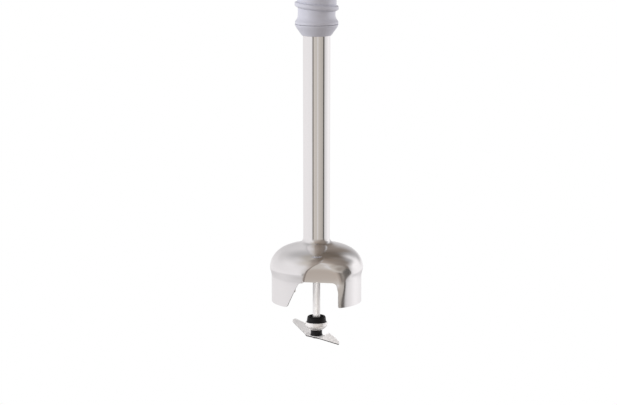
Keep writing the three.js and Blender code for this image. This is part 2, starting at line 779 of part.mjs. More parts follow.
// Blade unit.
add(bladeUnit, "drive_shaft", driveShaft(), polishedSteel);
add(bladeUnit, "seal_cup", sealCup(), polishedSteel);
add(bladeUnit, "lip_seal", lipSeal(), blackRubber);
add(bladeUnit, "blade", bladeStrip(), polishedSteel);
add(bladeUnit, "blade_hub", bladeHub(), blackRubber);
add(bladeUnit, "blade_screw", bladeScrew(), plainSteel);

export default blender;
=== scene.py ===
import json
import math

import bmesh
import bpy
from mathutils import Matrix, Vector


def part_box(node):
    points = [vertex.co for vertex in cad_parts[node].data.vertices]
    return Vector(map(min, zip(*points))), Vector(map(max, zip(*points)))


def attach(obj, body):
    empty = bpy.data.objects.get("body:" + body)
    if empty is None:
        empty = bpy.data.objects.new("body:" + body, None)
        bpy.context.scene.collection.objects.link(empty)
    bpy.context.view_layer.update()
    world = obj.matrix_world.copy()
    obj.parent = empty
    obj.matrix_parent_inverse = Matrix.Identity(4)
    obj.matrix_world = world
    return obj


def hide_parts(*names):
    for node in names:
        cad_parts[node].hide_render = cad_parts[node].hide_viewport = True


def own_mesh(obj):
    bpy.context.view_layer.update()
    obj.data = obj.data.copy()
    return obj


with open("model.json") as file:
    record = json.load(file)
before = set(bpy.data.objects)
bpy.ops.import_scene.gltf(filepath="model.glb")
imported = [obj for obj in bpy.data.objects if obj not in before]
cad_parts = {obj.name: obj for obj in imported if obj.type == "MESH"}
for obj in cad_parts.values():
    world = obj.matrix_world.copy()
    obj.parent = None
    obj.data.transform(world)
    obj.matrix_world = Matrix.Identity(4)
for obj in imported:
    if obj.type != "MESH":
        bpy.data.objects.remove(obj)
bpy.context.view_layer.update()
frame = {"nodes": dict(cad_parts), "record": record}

# Lengths are in millimetres and scaled to metres when a mesh is made. Only lights are placed in metres.
MM = 0.001
MOTOR_UNIT, COLLAR, FOOT, BLADE_UNIT = "motor_unit", "collar", "foot", "blade_unit"


def low(node):
    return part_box(node)[0].z / MM


def high(node):
    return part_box(node)[1].z / MM


def radius_of(node):
    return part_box(node)[1].x / MM


# Places from the frame. Heights are measured from the ledge under the motor housing.
RIM = low("bell_guard")
TUBE_TOP, TUBE_RADIUS = high("foot_tube"), radius_of("foot_tube")
COLLAR_LOW, COLLAR_HIGH = low("coupling_collar"), high("coupling_collar")
SLEEVE_LOW, SLEEVE_HIGH = low("grip_sleeve"), high("grip_sleeve")
CUP_ABOVE_BLADE_LEVEL = 1.1
BLADE_LEVEL = low("seal_cup") - CUP_ABOVE_BLADE_LEVEL
SHAFT_TOP, SHAFT_RADIUS = high("drive_shaft"), radius_of("drive_shaft")


# ---------------------------------------------------------------- camera and studio

AIM_ABOVE_RIM = 113
CAMERA_BACK = 2847
CAMERA_ABOVE_AIM = 502
CAMERA_LEFT = 9.1
LENS = 149


def make_camera():
    data = bpy.data.cameras.new("camera")
    data.lens = LENS
    data.sensor_width = 36
    data.clip_end = 100
    camera = bpy.data.objects.new("camera", data)
    bpy.context.scene.collection.objects.link(camera)
    camera.location = Vector((-CAMERA_LEFT, -CAMERA_BACK, RIM + AIM_ABOVE_RIM + CAMERA_ABOVE_AIM)) * MM
    pitch = math.atan2(CAMERA_ABOVE_AIM, CAMERA_BACK)
    camera.rotation_euler = (math.pi / 2 - pitch, 0, 0)
    bpy.context.scene.camera = camera


def emission_material(name, colour, strength):
    material = bpy.data.materials.new(name)
    material.use_nodes = True
    nodes = material.node_tree.nodes
    nodes.clear()
    glow = nodes.new("ShaderNodeEmission")
    glow.inputs["Color"].default_value = (*colour, 1)
    glow.inputs["Strength"].default_value = strength
    output = nodes.new("ShaderNodeOutputMaterial")
    material.node_tree.links.new(glow.outputs[0], output.inputs["Surface"])
    return material


def link_mesh(name, verts, faces, scale=MM):
    mesh = bpy.data.meshes.new(name)
    mesh.from_pydata([Vector(v) * scale for v in verts], [], faces)
    mesh.validate()
    obj = bpy.data.objects.new(name, mesh)
    bpy.context.scene.collection.objects.link(obj)
    return obj


FLOOR_LEVEL = -900
FLOOR_HALF = 30000


def make_floor():
    corners = [(-1, -1), (1, -1), (1, 1), (-1, 1)]
    verts = [(x * FLOOR_HALF, y * FLOOR_HALF, FLOOR_LEVEL) for x, y in corners]
    floor = link_mesh("floor", verts, [(0, 1, 2, 3)])
    floor.data.materials.append(emission_material("white_floor", (1, 1, 1), 1.0))
    floor.visible_glossy = False
    floor.visible_diffuse = False


# The studio as the object sees it: its brightness at bearings in degrees, from straight behind
# (-180) by the left, the camera's side (0) and the right back to straight behind, at four heights.
PALE, BEIGE = (1.0, 0.975, 0.985), (1.0, 0.93, 0.86)
BROWN, DEEP = (1.0, 0.86, 0.76), (1.0, 0.82, 0.68)
STUDIO = {
    -62: [(-180, 0.4, PALE), (-40, 0.45, BEIGE), (10, 0.42, BROWN), (60, 0.2, BROWN), (180, 0.4, PALE)],
    -33: [(-180, 0.6, PALE), (-100, 0.8, PALE), (-50, 0.7, PALE), (-20, 0.52, BEIGE), (12, 0.52, BROWN),
          (40, 0.28, BROWN), (66, 0.4, BROWN), (100, 0.85, PALE), (140, 0.5, PALE), (180, 0.6, PALE)],
    -20: [(-180, 0.65, PALE), (-110, 0.8, PALE), (-50, 0.72, PALE), (-20, 0.55, BEIGE), (10, 0.6, BEIGE),
          (28, 0.42, BROWN), (42, 0.2, BROWN), (60, 0.2, BROWN), (74, 0.62, PALE), (120, 1.02, PALE),
          (150, 0.8, PALE), (165, 0.55, PALE), (180, 0.65, PALE)],
    -9: [(-180, 0.8, PALE), (-165, 0.9, PALE), (-100, 0.93, PALE), (-39, 0.91, PALE), (-34, 0.24, BEIGE),
         (-27, 0.24, BEIGE), (-22, 0.66, BEIGE), (3, 0.62, BEIGE), (9, 0.78, PALE), (16, 0.64, BEIGE),
         (30, 0.58, BEIGE), (54, 0.52, BEIGE), (59, 0.09, BEIGE), (66, 0.09, BEIGE), (71, 0.64, PALE),
         (86, 0.86, PALE), (120, 1.04, PALE), (165, 0.95, PALE), (180, 0.8, PALE)],
    12: [(-180, 0.62, PALE), (-140, 0.84, PALE), (-50, 0.9, PALE), (-12, 0.5, BEIGE), (20, 0.42, BROWN),
         (48, 0.28, BROWN), (68, 0.26, BROWN), (88, 0.7, PALE), (110, 1.08, PALE), (130, 1.05, PALE),
         (150, 0.5, PALE), (180, 0.6, PALE)],
    32: [(-180, 0.72, PALE), (-150, 0.66, PALE), (-80, 0.9, PALE), (-40, 0.82, PALE), (-10, 0.46, BROWN),
         (40, 0.3, BROWN), (90, 0.24, BROWN), (112, 0.4, PALE), (128, 0.85, PALE), (145, 0.4, PALE),
         (160, 0.26, BROWN), (180, 0.28, BROWN)],
    57: [(-180, 0.5, PALE), (-140, 0.5, PALE), (-85, 0.72, PALE), (-40, 0.62, BEIGE), (-10, 0.38, BROWN),
         (40, 0.28, DEEP), (95, 0.25, BROWN), (120, 0.16, DEEP), (165, 0.16, DEEP), (180, 0.22, DEEP)],
    76: [(-180, 0.3, DEEP), (-150, 0.44, BEIGE), (-60, 0.5, BEIGE), (-15, 0.3, BROWN), (30, 0.2, DEEP),
         (130, 0.18, DEEP), (180, 0.2, DEEP)],
}


def make_studio():
    """A white world behind the object, and the studio's bright and dark parts round it."""
    world = bpy.data.worlds.new("studio")
    bpy.context.scene.world = world
    world.use_nodes = True
    tree = world.node_tree
    link = tree.links.new

    def math_node(operation, *values):
        node = tree.nodes.new("ShaderNodeMath")
        node.operation = operation
        for socket, value in zip(node.inputs, values):
            if isinstance(value, (int, float)):
                socket.default_value = value
            else:
                link(value, socket)
        return node.outputs[0]

    place = tree.nodes.new("ShaderNodeTexCoord").outputs["Generated"]
    split = tree.nodes.new("ShaderNodeSeparateXYZ")
    link(place, split.inputs[0])
    x, y, z = split.outputs
    bearing = math_node("ARCTAN2", x, math_node("MULTIPLY", y, -1.0))
    turn = math_node("MULTIPLY_ADD", bearing, 1 / (2 * math.pi), 0.5)
    height = math_node("ARCSINE", z)

    shade = None
    before = None
    for level, stops in STUDIO.items():
        ramp = tree.nodes.new("ShaderNodeValToRGB")
        ramp.color_ramp.interpolation = "EASE"
        elements = ramp.color_ramp.elements
        while len(elements) < len(stops):
            elements.new(0.5)
        for element, (at, strength, tint) in zip(elements, stops):
            element.position = at / 360 + 0.5
            element.color = (*(strength * part for part in tint), 1)
        link(turn, ramp.inputs["Fac"])
        if shade is None:
            shade = ramp.outputs["Color"]
        else:
            share = tree.nodes.new("ShaderNodeMapRange")
            share.interpolation_type = "SMOOTHSTEP"
            share.inputs["From Min"].default_value = math.radians(before)
            share.inputs["From Max"].default_value = math.radians(level)
            link(height, share.inputs["Value"])
            mix = tree.nodes.new("ShaderNodeMix")
            mix.data_type = "RGBA"
            link(share.outputs["Result"], mix.inputs["Factor"])
            link(shade, mix.inputs["A"])
            link(ramp.outputs["Color"], mix.inputs["B"])
            shade = mix.outputs["Result"]
        before = level

    seen = tree.nodes["Background"]
    seen.inputs["Color"].default_value = (1, 1, 1, 1)
    around = tree.nodes.new("ShaderNodeBackground")
    link(shade, around.inputs["Color"])
    choose = tree.nodes.new("ShaderNodeMixShader")
    link(tree.nodes.new("ShaderNodeLightPath").outputs["Is Camera Ray"], choose.inputs["Fac"])
    link(around.outputs[0], choose.inputs[1])
    link(seen.outputs[0], choose.inputs[2])
    link(choose.outputs[0], tree.nodes["World Output"].inputs["Surface"])


def area_light(name, place, target, size, power):
    """A rectangular light, placed in metres, that shows neither to the camera nor in reflections."""
    data = bpy.data.lights.new(name, "AREA")
    data.shape = "RECTANGLE"
    data.size, data.size_y = size
    data.energy = power
    light = bpy.data.objects.new(name, data)
    bpy.context.scene.collection.objects.link(light)
    light.location = place
    light.rotation_euler = (Vector(target) - Vector(place)).to_track_quat("-Z", "Y").to_euler()
    light.visible_camera = False
    light.visible_glossy = False
    return light


def make_lights():
    area_light("key", (-1.9, -0.9, 0.25), (0, 0, -0.1), (1.0, 1.4), 27)
    area_light("rim", (1.7, 0.05, 0.1), (0, 0, -0.1), (0.8, 1.4), 17)
    bpy.context.scene.view_settings.view_transform = "Standard"


def light_only(light, *objects):
    """Keeps a light for the given pieces."""
    group = bpy.data.collections.new(light.name + "_pieces")
    for obj in objects:
        group.objects.link(obj)
    light.light_linking.receiver_collection = group


def light_blade_unit(shaft, arms, cup):
    """The shaft, blade and cup are small, and get soft light of their own."""
    flare = area_light("flare", (-0.15, -1.5, -0.75), (0, 0, RIM * MM), (1.6, 0.9), 21)
    light_only(flare, shaft)
    sweep = area_light("sweep", (-0.3, -0.9, 0.9), (0, 0, BLADE_LEVEL * MM), (1.6, 1.2), 17)
    sweep.data.use_shadow = False
    light_only(sweep, arms, cup)


# ---------------------------------------------------------------- materials


class Paint:
    """A Principled material built up from object-space noise."""

    def __init__(self, name, colour, roughness, metallic=0.0):
        self.material = bpy.data.materials.new(name)
        self.material.use_nodes = True
        self.tree = self.material.node_tree
        self.shader = self.tree.nodes["Principled BSDF"]
        self.colour = colour
        self.set("Base Color", (*colour, 1))
        self.set("Roughness", roughness)
        self.set("Metallic", metallic)
        self.normal = None
        self.place = self.tree.nodes.new("ShaderNodeTexCoord").outputs["Object"]

    def set(self, socket, value):
        self.shader.inputs[socket].default_value = value
        return self

    def link(self, output, socket):
        self.tree.links.new(output, socket)

    def stretched(self, scale):
        node = self.tree.nodes.new("ShaderNodeMapping")
        node.inputs["Scale"].default_value = scale
        self.link(self.place, node.inputs["Vector"])
        return node.outputs["Vector"]

    def noise(self, scale, detail=4.0, stretch=(1, 1, 1)):
        node = self.tree.nodes.new("ShaderNodeTexNoise")
        node.inputs["Scale"].default_value = scale
        node.inputs["Detail"].default_value = detail
        self.link(self.stretched(stretch), node.inputs["Vector"])
        return node.outputs["Fac"]

    def bands(self, scale, direction="Z", distortion=0.0):
        node = self.tree.nodes.new("ShaderNodeTexWave")
        node.wave_type = "BANDS"
        node.bands_direction = direction
        node.inputs["Scale"].default_value = scale
        node.inputs["Distortion"].default_value = distortion
        self.link(self.place, node.inputs["Vector"])
        return node.outputs["Fac"]

    def spread(self, factor, start, end):
        node = self.tree.nodes.new("ShaderNodeMapRange")
        node.inputs["From Min"].default_value = 0.3
        node.inputs["From Max"].default_value = 0.7
        node.inputs["To Min"].default_value = start
        node.inputs["To Max"].default_value = end
        self.link(factor, node.inputs["Value"])
        return node.outputs["Result"]

    def vary_colour(self, factor, other):
        ramp = self.tree.nodes.new("ShaderNodeValToRGB")
        ramp.color_ramp.elements[0].position = 0.3
        ramp.color_ramp.elements[1].position = 0.7
        ramp.color_ramp.elements[0].color = (*self.colour, 1)
        ramp.color_ramp.elements[1].color = (*other, 1)
        self.link(factor, ramp.inputs["Fac"])
        self.link(ramp.outputs["Color"], self.shader.inputs["Base Color"])
        return self

    def vary_roughness(self, factor, start, end):
        self.link(self.spread(factor, start, end), self.shader.inputs["Roughness"])
        return self

    def bump(self, factor, depth):
        node = self.tree.nodes.new("ShaderNodeBump")
        node.inputs["Distance"].default_value = depth * MM
        node.inputs["Strength"].default_value = 1.0
        self.link(factor, node.inputs["Height"])
        if self.normal:
            self.link(self.normal, node.inputs["Normal"])
        self.normal = node.outputs["Normal"]
        self.link(self.normal, self.shader.inputs["Normal"])
        return self


def grey_plastic():
    paint = Paint("grey_plastic", (0.53, 0.54, 0.615), 0.4)
    paint.vary_colour(paint.noise(45), (0.545, 0.555, 0.63))
    paint.vary_roughness(paint.noise(300), 0.27, 0.36)
    paint.bump(paint.noise(2600, 2), 0.012)
    return paint.material


SATIN_BELOW, BRIGHT_ABOVE = RIM + 66, RIM + 82
SATIN, BRIGHT = 0.145, 0.085


def polished_steel():
    """Bright along the tube, and more satin over the bell."""
    paint = Paint("polished_steel", (0.86, 0.85, 0.85), 0.09, 1.0)
    paint.bump(paint.noise(420, 3, (1, 1, 0.02)), 0.002)
    paint.bump(paint.noise(16, 2), 0.03)
    split = paint.tree.nodes.new("ShaderNodeSeparateXYZ")
    paint.link(paint.place, split.inputs[0])
    share = paint.tree.nodes.new("ShaderNodeMapRange")
    share.inputs["From Min"].default_value = SATIN_BELOW * MM
    share.inputs["From Max"].default_value = BRIGHT_ABOVE * MM
    share.inputs["To Min"].default_value = SATIN
    share.inputs["To Max"].default_value = BRIGHT
    paint.link(split.outputs["Z"], share.inputs["Value"])
    grain = paint.tree.nodes.new("ShaderNodeMath")
    grain.operation = "MULTIPLY"
    paint.link(share.outputs["Result"], grain.inputs[0])
    paint.link(paint.spread(paint.noise(90), 0.85, 1.2), grain.inputs[1])
    paint.link(grain.outputs[0], paint.shader.inputs["Roughness"])
    return paint.material


def bright_steel():
    paint = Paint("bright_steel", (0.9, 0.89, 0.885), 0.2, 0.55)
    paint.vary_roughness(paint.noise(200), 0.16, 0.26)
    paint.bump(paint.noise(900, 3, (1, 1, 0.05)), 0.0015)
    return paint.material


def ground_steel():
    paint = Paint("ground_steel", (0.86, 0.85, 0.85), 0.4, 0.4)
    paint.vary_roughness(paint.noise(220), 0.35, 0.45)
    paint.bump(paint.noise(900, 3, (1, 1, 0.05)), 0.0015)
    return paint.material


# Grey metal for the bell's rims and rounded edges: painted shade that draws a dark line along them.
def painted_shade_grey():
    paint = Paint("painted_shade_grey", (0.5, 0.49, 0.49), 0.35, 0.8)
    paint.vary_roughness(paint.noise(260), 0.3, 0.45)
    paint.bump(paint.noise(900, 3), 0.002)
    return paint.material


# Near-black metal for the blade's sides: painted shade along its edges.
def painted_shade_black():
    paint = Paint("painted_shade_black", (0.04, 0.037, 0.037), 0.4, 0.5)
    paint.vary_roughness(paint.noise(260), 0.34, 0.5)
    paint.bump(paint.noise(900, 3), 0.002)
    return paint.material


def turned_steel():
    paint = Paint("turned_steel", (0.58, 0.58, 0.6), 0.3, 1.0)
    paint.vary_roughness(paint.noise(150), 0.24, 0.4)
    paint.bump(paint.bands(900, "Z", 2.0), 0.003)
    return paint.material


def black_rubber():
    paint = Paint("black_rubber", (0.006, 0.006, 0.007), 0.42)
    paint.set("Specular IOR Level", 0.25)
    paint.vary_roughness(paint.noise(250), 0.34, 0.55)
    paint.bump(paint.noise(1500, 3), 0.01)
    return paint.material


def soft_rubber():
    paint = Paint("soft_rubber", (0.035, 0.036, 0.04), 0.7)
    paint.vary_colour(paint.noise(90), (0.045, 0.046, 0.05))
    paint.vary_roughness(paint.noise(400), 0.62, 0.82)
    paint.bump(paint.noise(3000, 2), 0.03)
    return paint.material


def dark_plastic():
    paint = Paint("dark_plastic", (0.055, 0.056, 0.062), 0.45)
    paint.vary_colour(paint.noise(70), (0.065, 0.066, 0.073))
    paint.vary_roughness(paint.noise(350), 0.4, 0.55)
    paint.bump(paint.noise(2800, 2), 0.02)
    return paint.material


def red_plastic():
    paint = Paint("red_plastic", (0.46, 0.035, 0.025), 0.3)
    paint.vary_colour(paint.noise(80), (0.5, 0.045, 0.03))
    paint.vary_roughness(paint.noise(300), 0.26, 0.38)
    paint.bump(paint.noise(1500, 2), 0.006)
    return paint.material


def laminated_iron():
    paint = Paint("laminated_iron", (0.16, 0.165, 0.175), 0.5, 0.9)
    paint.vary_colour(paint.bands(320), (0.1, 0.1, 0.11))
    paint.bump(paint.bands(320), 0.1)
    return paint.material


def copper_wire():
    paint = Paint("copper_wire", (0.48, 0.17, 0.06), 0.35, 0.9)
    paint.vary_colour(paint.bands(220, "DIAGONAL"), (0.3, 0.09, 0.03))
    paint.bump(paint.bands(220, "DIAGONAL"), 0.2)
    return paint.material


def sintered_bronze():
    paint = Paint("sintered_bronze", (0.4, 0.26, 0.1), 0.42, 1.0)
    paint.vary_roughness(paint.noise(500), 0.34, 0.55)
    paint.bump(paint.noise(1800, 4), 0.02)
    return paint.material


def pressed_carbon():
    paint = Paint("pressed_carbon", (0.02, 0.02, 0.021), 0.75)
    paint.vary_roughness(paint.noise(600), 0.6, 0.9)
    paint.bump(paint.noise(1500, 4), 0.02)
    return paint.material


def coated_board():
    paint = Paint("coated_board", (0.02, 0.12, 0.045), 0.4)
    paint.vary_colour(paint.bands(120, "X", 6.0), (0.03, 0.19, 0.07))
    paint.bump(paint.bands(120, "X", 6.0), 0.02)
    return paint.material


MATERIALS = {
    "grey_plastic": grey_plastic(),
    "dark_plastic": dark_plastic(),
    "red_plastic": red_plastic(),
    "soft_rubber": soft_rubber(),
    "black_rubber": black_rubber(),
    "polished_steel": polished_steel(),
    "plain_steel": turned_steel(),
    "iron": laminated_iron(),
    "copper": copper_wire(),
    "bronze": sintered_bronze(),
    "carbon": pressed_carbon(),
    "circuit_board": coated_board(),
    "bright_steel": bright_steel(),
    "ground_steel": ground_steel(),
    "painted_shade_grey": painted_shade_grey(),
    "painted_shade_black": painted_shade_black(),
}


def two_kinds(mesh):
    """Room for the faces of material index 1, the edges painted darker as shade, before a piece is painted.
    """
    for name in ("polished_steel", "painted_shade_grey"):
        mesh.materials.append(MATERIALS[name])


# ---------------------------------------------------------------- mesh tools


def eased(value, start, end):
    t = min(1, max(0, (value - start) / (end - start)))
    return t * t * (3 - 2 * t)


def between(table, value):
    """Straight-line look-up in a table of (key, value) rows with rising keys."""
    for (k0, v0), (k1, v1) in zip(table, table[1:]):
        if value <= k1:
            return v0 + (v1 - v0) * max(0, value - k0) / (k1 - k0)
    return table[-1][1]


def rounded(points, steps=4):
    """A polyline of (a, b) or (a, b, corner radius), with each given corner turned into an arc."""
    made = []
    for index, point in enumerate(points):
        here = Vector(point[:2])
        radius = point[2] if len(point) > 2 else 0
        if not radius:
            made.append(tuple(here))
            continue
        before = Vector(points[index - 1][:2]) - here
        after = Vector(points[(index + 1) % len(points)][:2]) - here
        reach = min(radius, before.length * 0.49, after.length * 0.49)
        start, end = here + before.normalized() * reach, here + after.normalized() * reach
        for step in range(steps + 1):
            t = step / steps
            made.append(tuple(start * (1 - t) ** 2 + here * 2 * t * (1 - t) + end * t ** 2))
    return made


def smooth_curve(points, spacing):
    """A Catmull-Rom curve through the points, stepped about one spacing apart."""
    knots = [Vector(p) for p in points]
    knots = [2 * knots[0] - knots[1], *knots, 2 * knots[-1] - knots[-2]]
    made = []
    for index in range(1, len(knots) - 2):
        a, b, c, d = knots[index - 1:index + 3]
        steps = max(1, round((c - b).length / spacing))
        for step in range(steps):
            t = step / steps
            bend, twist = 2 * a - 5 * b + 4 * c - d, 3 * b - a - 3 * c + d
            made.append(0.5 * (2 * b + (c - a) * t + bend * t ** 2 + twist * t ** 3))
    made.append(knots[-2])
    return [tuple(p) for p in made]


def mark_sharp(obj, degrees=38):
    mesh = obj.data
    mesh.shade_smooth()
    bm = bmesh.new()
    bm.from_mesh(mesh)
    bmesh.ops.recalc_face_normals(bm, faces=bm.faces)
    for edge in bm.edges:
        edge.smooth = len(edge.link_faces) == 2 and edge.calc_face_angle(0) < math.radians(degrees)
    bm.to_mesh(mesh)
    bm.free()


def baked(obj):
    """Applies the object's modifiers."""
    graph = bpy.context.evaluated_depsgraph_get()
    mesh = bpy.data.meshes.new_from_object(obj.evaluated_get(graph))
    obj.modifiers.clear()
    obj.data = mesh
    return obj


def weighted(obj, degrees=38):
    mark_sharp(obj, degrees)
    modifier = obj.modifiers.new("weighted", "WEIGHTED_NORMAL")
    modifier.keep_sharp = True
    return obj


def bevelled(obj, width, degrees, segments, kind=-1):
    """Rounds the edges sharper than the given angle. kind is the rounding's material index, -1 for
    that of the faces beside it."""
    modifier = obj.modifiers.new("bevel", "BEVEL")
    modifier.material = kind
    modifier.width = width * MM
    modifier.segments = segments
    modifier.limit_method = "ANGLE"
    modifier.angle_limit = math.radians(degrees)
    modifier.harden_normals = False
    return baked(obj)


def ring_skin(name, rings, closed=True, caps=False):
    """A skin over rings of points. closed joins the last ring to the first, caps fills both ends."""
    around = len(rings[0])
    verts = [point for ring in rings for point in ring]
    faces = []
    rows = len(rings) if closed else len(rings) - 1
    for row in range(rows):
        for column in range(around):
            a = row * around + column
            b = row * around + (column + 1) % around
            c = ((row + 1) % len(rings)) * around + (column + 1) % around
            d = ((row + 1) % len(rings)) * around + column
            faces.append((a, b, c, d))
    if caps:
        faces.append(tuple(reversed(range(around))))
        faces.append(tuple(range((len(rings) - 1) * around, len(rings) * around)))
    return link_mesh(name, verts, faces)


def turned(name, profile, segments=128, depth_scale=1.0, warp=None):
    """A piece turned about Z from (radius, height) points; a profile that starts and ends on the
    axis is capped, any other closes on itself."""
    on_axis = profile[0][0] == 0 and profile[-1][0] == 0
    rows = profile[1:-1] if on_axis else profile
    rings = []
    for radius, height in rows:
        ring = []
        for step in range(segments):
            angle = 2 * math.pi * step / segments
            point = Vector((radius * math.cos(angle), radius * math.sin(angle) * depth_scale, height))
            ring.append(warp(point) if warp else point)
        rings.append(ring)
    return weighted(ring_skin(name, rings, closed=not on_axis, caps=on_axis))


def carved(obj, *cutters):
    """Cuts the cutters out of a piece, and uses them up."""
    for cutter in cutters:
        modifier = obj.modifiers.new("cut", "BOOLEAN")
        modifier.operation = "DIFFERENCE"
        modifier.solver = "EXACT"
        modifier.object = cutter
    baked(obj)
    for cutter in cutters:
        bpy.data.objects.remove(cutter)
    return obj


def settle(obj, body, slot, *nodes, material=None, edge="painted_shade_grey"):
    """Paints a finished piece, joins it to its body and lets it stand for CAD nodes. Faces of material index
    1 are its edges, painted darker as shade."""
    kinds = [face.material_index for face in obj.data.polygons]
    obj.data.materials.clear()
    obj.data.materials.append(MATERIALS[material or slot])
    if any(kinds):
        obj.data.materials.append(MATERIALS[edge])
        obj.data.polygons.foreach_set("material_index", kinds)
    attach(obj, body)
    if nodes:
        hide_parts(*nodes)
    return obj


# ---------------------------------------------------------------- foot: tube and bell in one skin

# The bell's outside below its neck: radius, height above the rim.
BELL_CURVE = [
    (15.05, 76), (15.1, 73), (15.7, 70.4), (17.4, 68.2), (20.5, 66.6), (25, 65.3), (31, 63.7), (36.5, 61.7),
    (41.2, 59.2), (45.2, 56), (48.5, 52.2), (50.9, 48), (52.3, 43.6), (52.9, 40), (52.8, 37.4),
    (52.0, 34.6), (51.3, 31.5), (51.0, 27), (50.9, 12), (50.9, 0),
]
BELL_WALL = 1.4
NECK_RADIUS_OF_BELL, NECK_HEIGHT = BELL_CURVE[0]
LEG_RADIUS = 51
# The pressed-in wall: height above the rim, distance from the axis.
WALL_TABLE = smooth_curve([
    (0, 44.8), (8, 44.6), (16, 43.2), (24, 42.0), (30, 42.1), (38, 43.5), (46, 45.9), (53, 49.6),
    (60, 55)], 1.0)
# The step at the left of the pressed-in wall: height above the rim, place to the right.
STEP_TABLE = smooth_curve([
    (20, -15.2), (30, -15.1), (36.5, -13.8), (42, -12), (45.2, -9.2), (49, -4), (52, 2), (56, 8)], 1.0)
STEP_HALF = 1.5
STEP_BEARING = math.asin(STEP_TABLE[0][1] / LEG_RADIUS)
# The pressed-in wall's right flank: where it starts, its slope, and where it runs out.
FLANK_X, FLANK_Y, FLANK_TURN = 32.4, 39.4, math.tan(math.radians(31))
FLANK_FADES, FLANK_ENDS = 38, 42
# How softly the wall meets its flank and the round of the bell, and how much more softly up high.
FLANK_ROUNDING, WALL_ROUNDING, DOME_ROUNDING = 0.35, 1.3, 3.2
DOME_FROM, DOME_FULLY = 40, 50
# The skin's columns: their spacing away from the step and beside it, how far round the bell they
# move to follow the step, and the radii between which they start to follow it.
COARSE_STEP, FINE_STEP = 1.15, 0.28
FOLLOW_REACH = math.radians(64)
FOLLOW_FROM, FOLLOW_FULLY = 17, 37
PRESSED_FROM_RADIUS = 36
SNAP_TO_WINDOW = 1.6


def soft_max(a, b, radius):
    """The larger of two, rounded over where they cross."""
    gap = (a - b) / radius
    return max(a, b) + radius * math.log1p(math.exp(-abs(gap)))


def pressed(x, y, height):
    """A point of the bell's round skin, moved back to the pressed-in wall where there is one."""
    side = 1 if y < 0 else -1
    front_x, front_y = x * side, y * side
    start = between(STEP_TABLE, height)
    if front_x < start - STEP_HALF or front_x > FLANK_ENDS:
        return Vector((x, y, height))
    wall = -between(WALL_TABLE, height)
    flank = -FLANK_Y + (front_x - FLANK_X) * FLANK_TURN
    rounding = WALL_ROUNDING + DOME_ROUNDING * eased(height, DOME_FROM, DOME_FULLY)
    back = soft_max(soft_max(front_y, flank, FLANK_ROUNDING), wall, rounding)
    share = eased(front_x, start - STEP_HALF, start + STEP_HALF)
    fade = 1 - eased(front_x, FLANK_FADES, FLANK_ENDS)
    return Vector((x, (front_y + (back - front_y) * share * fade) * side, height))


def bell_angles():
    """Angles round the front half of the bell, closest together at the step."""
    angles = []
    angle = -math.pi / 2
    while angle < math.pi / 2 - 0.012:
        angles.append(angle)
        away = abs(angle - STEP_BEARING) * LEG_RADIUS
        angle += (FINE_STEP + (COARSE_STEP - FINE_STEP) * eased(away, 1.8, 8)) / LEG_RADIUS
    return angles


def shifted(angle, height, radius):
    """The front half's angle, moved so that the close columns follow the step."""
    crease = math.asin(max(-1, min(1, between(STEP_TABLE, height) / radius)))
    away = angle - STEP_BEARING
    if abs(away) > FOLLOW_REACH:
        return angle
    return angle + (crease - STEP_BEARING) * (0.5 + 0.5 * math.cos(math.pi * away / FOLLOW_REACH))


# The front window's edge from left to right: place to the right, height above the rim.
WINDOW = rounded([
    (-60, 0), (-33.9, 0, 2.2), (-27.4, 14.9), (-23.8, 23.0), (-20.3, 29.3, 3.5), (-14.5, 29.6, 1.0),
    (21.5, 28.2, 4.5), (24.4, 17), (24.6, 0, 2.0), (60, 0)], 6)


def in_window(x, height):
    """Whether a point in front of the bell is in the window, by the crossings above it."""
    crossings = 0
    for (x0, h0), (x1, h1) in zip(WINDOW, WINDOW[1:]):
        if (x0 <= x) != (x1 <= x):
            crossings += height < h0 + (h1 - h0) * (x - x0) / (x1 - x0)
    return bool(crossings % 2) and height > -1


def nearest_on_window(x, height):
    """The nearest point on the window's edge, and how far away it is."""
    best, gap = None, math.inf
    for (x0, h0), (x1, h1) in zip(WINDOW, WINDOW[1:]):
        a, b = Vector((x0, h0)), Vector((x1, h1))
        along = b - a
        t = max(0, min(1, (Vector((x, height)) - a).dot(along) / max(along.length_squared, 1e-9)))
        spot = a + along * t
        distance = (spot - Vector((x, height))).length
        if distance < gap:
            best, gap = spot, distance
    return best, gap


def move_on_bell(vert, x, height, rows):
    """Slides a vertex over the bell's surface to a given x and height."""
    radius = BELL_CURVE[-1][0]
    for (r0, h0), (r1, h1) in zip(rows, rows[1:]):
        if h0 >= height >= h1 and h0 > h1:
            radius = r0 + (r1 - r0) * (h0 - height) / (h0 - h1)
    side = -1 if vert.co.y < 0 else 1
    y = side * math.sqrt(max(0, radius * radius - x * x))
    vert.co = pressed(x, y, height)


